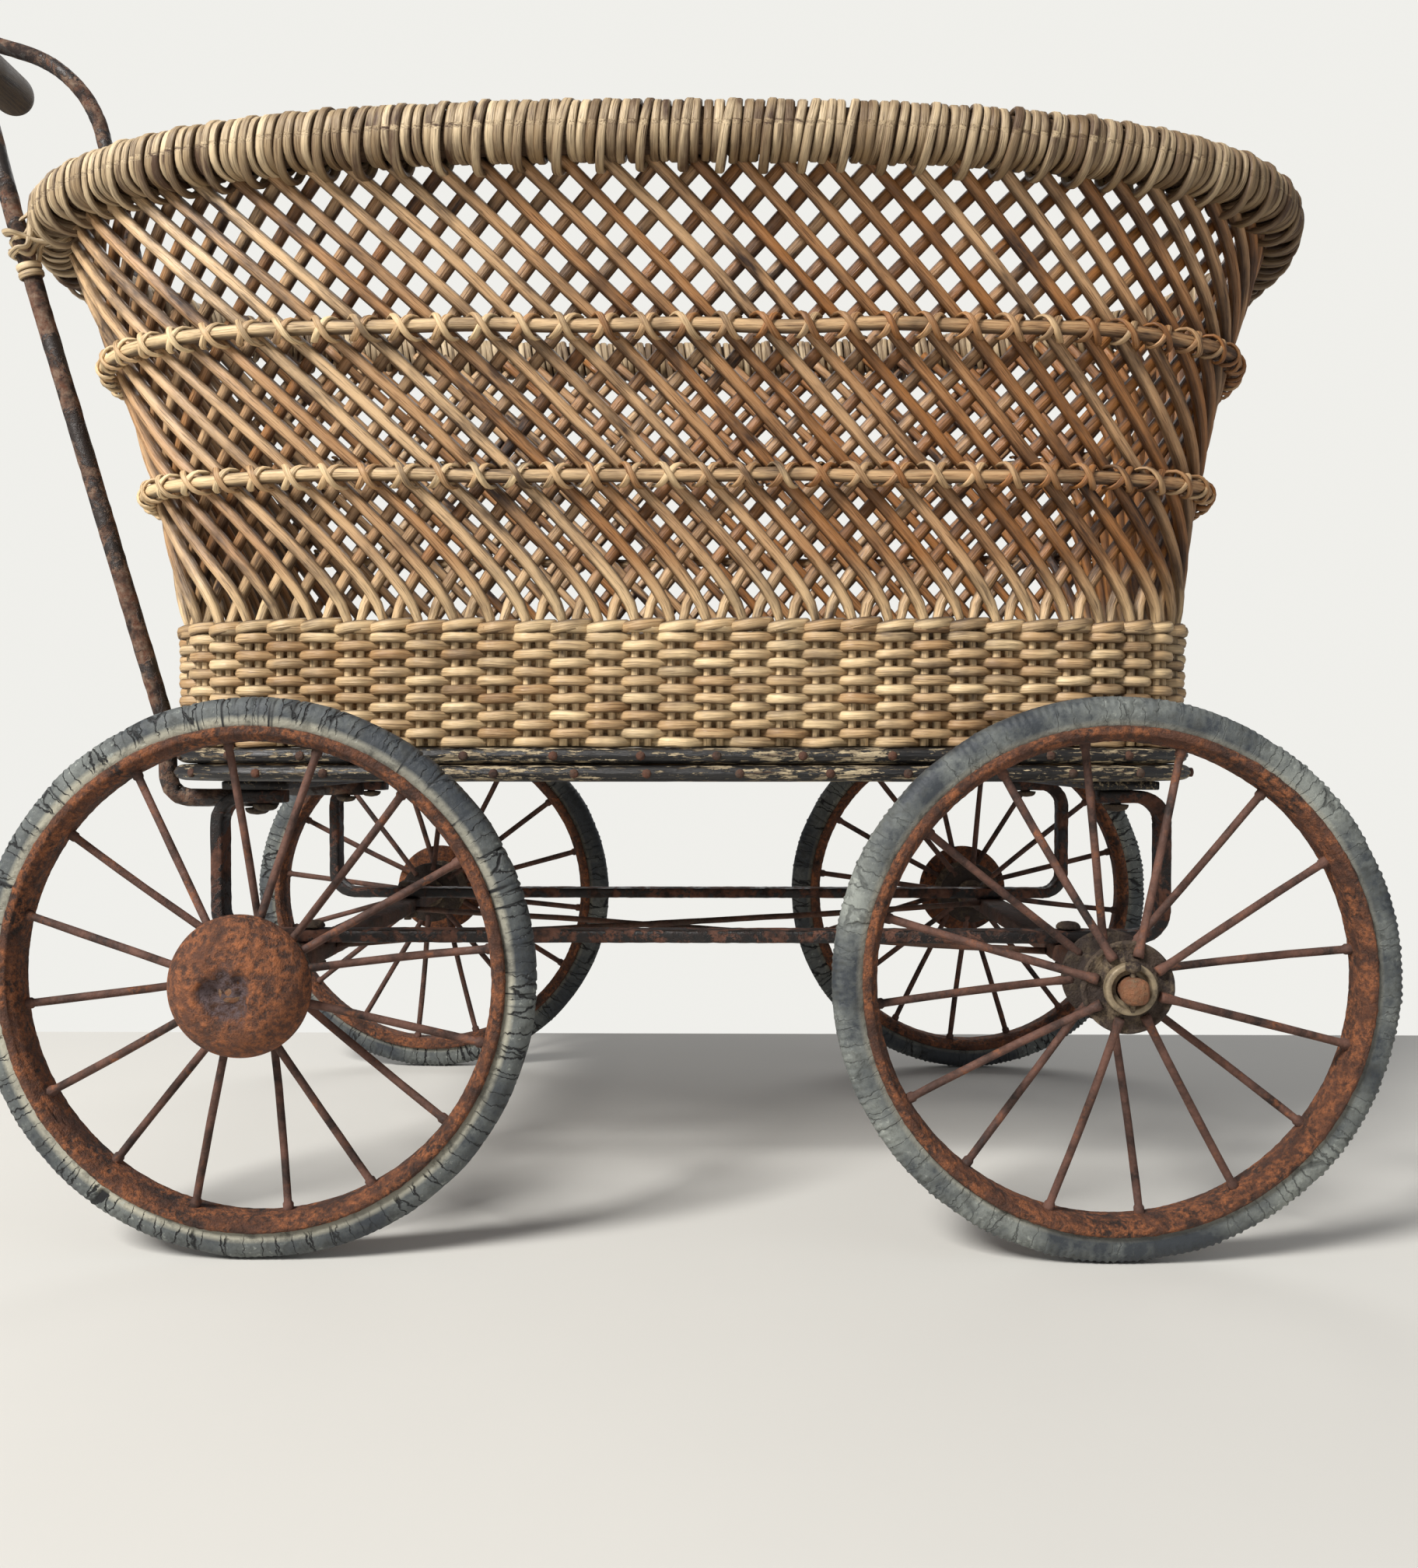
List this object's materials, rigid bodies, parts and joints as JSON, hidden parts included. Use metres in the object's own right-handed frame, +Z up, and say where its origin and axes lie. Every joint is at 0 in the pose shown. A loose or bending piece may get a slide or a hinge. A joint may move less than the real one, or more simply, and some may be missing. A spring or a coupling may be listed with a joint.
{
  "type": "doll stroller",
  "caption": "Antique doll's pram: flared open wicker basket on a bent iron undercarriage with large spoked, rubber-tyred wheels and a rear push handle.",
  "frame": {"origin": "centre of the whole pram in plan, on the surface that the wheels stand on", "axes": "+X towards the front, away from the push handle; +Y to the left; +Z up"},
  "size_m": [0.7526, 0.4106, 0.6403],
  "materials": {
    "rattan": "aged cane, pinkish beige to dark honey, satin, worn",
    "straw": "pale weaving cane, satin, stained",
    "rim_cane": "weathered grey-beige wrapping cane, brown stains",
    "black_wood": "black paint flaking to bare cane",
    "floor_wood": "old unfinished board, dusty",
    "rusty_iron": "deep orange-brown rust, pitted, matt",
    "black_iron": "worn black paint over rust",
    "tyre_rubber": "perished grey-blue rubber with radial cracks, matt",
    "brass": "dull tarnished brass",
    "handle_wood": "turned olive-brown wood, worn varnish"
  },
  "bodies": {
    "chassis": {"axle_bolt_front_left": "rusty_iron", "axle_bolt_front_right": "rusty_iron", "axle_bolt_rear_left": "rusty_iron", "axle_bolt_rear_right": "rusty_iron", "axle_front": "rusty_iron", "axle_rear": "rusty_iron", "axle_washer_front_left": "rusty_iron", "axle_washer_front_right": "rusty_iron", "axle_washer_rear_left": "rusty_iron", "axle_washer_rear_right": "rusty_iron", "base_rail_lower": "black_wood", "base_rail_upper": "black_wood", "basket_band": "straw", "basket_floor_board": "floor_wood", "basket_lattice": "rattan", "basket_rim": "rim_cane", "batten_front": "black_wood", "batten_rear": "black_wood", "brace_rod_a": "rusty_iron", "brace_rod_b": "rusty_iron", "frame_bolt_front_left": "rusty_iron", "frame_bolt_front_right": "rusty_iron", "frame_bolt_rear_left": "rusty_iron", "frame_bolt_rear_right": "rusty_iron", "handle_bolt_left": "rusty_iron", "handle_bolt_right": "rusty_iron", "handle_rod_left": "black_iron", "handle_rod_right": "black_iron", "hoop_lower": "rattan", "hoop_upper": "rattan", "lashing_left": "rim_cane", "lashing_right": "rim_cane", "linch_pin_front_left": "rusty_iron", "linch_pin_front_right": "rusty_iron", "linch_pin_rear_left": "rusty_iron", "linch_pin_rear_right": "rusty_iron", "push_bar": "handle_wood", "side_frame_left": "black_iron", "side_frame_right": "black_iron"},
    "wheel_front_left": {"hub_bush_front_left": "brass", "hub_cap_front_left": "rusty_iron", "rim_front_left": "rusty_iron", "spoked_hub_front_left": "rusty_iron", "tyre_front_left": "tyre_rubber"},
    "wheel_front_right": {"hub_bush_front_right": "brass", "rim_front_right": "rusty_iron", "spoked_hub_front_right": "rusty_iron", "tyre_front_right": "tyre_rubber"},
    "wheel_rear_left": {"hub_bush_rear_left": "brass", "hub_cap_rear_left": "rusty_iron", "rim_rear_left": "rusty_iron", "spoked_hub_rear_left": "rusty_iron", "tyre_rear_left": "tyre_rubber"},
    "wheel_rear_right": {"hub_bush_rear_right": "brass", "hub_cap_rear_right": "rusty_iron", "rim_rear_right": "rusty_iron", "spoked_hub_rear_right": "rusty_iron", "tyre_rear_right": "tyre_rubber"}
  },
  "joints": [
    {"name": "wheel_front_left_spin", "type": "hinge", "parent": "chassis", "child": "wheel_front_left", "pos_m": [0.25085, 0.1695, 0.115], "axis": [0, 1, 0], "continuous": true},
    {"name": "wheel_front_right_spin", "type": "hinge", "parent": "chassis", "child": "wheel_front_right", "pos_m": [0.25085, -0.1695, 0.115], "axis": [0, 1, 0], "continuous": true},
    {"name": "wheel_rear_left_spin", "type": "hinge", "parent": "chassis", "child": "wheel_rear_left", "pos_m": [-0.09815, 0.1695, 0.115], "axis": [0, 1, 0], "continuous": true},
    {"name": "wheel_rear_right_spin", "type": "hinge", "parent": "chassis", "child": "wheel_rear_right", "pos_m": [-0.09815, -0.1695, 0.115], "axis": [0, 1, 0], "continuous": true}
  ]
}
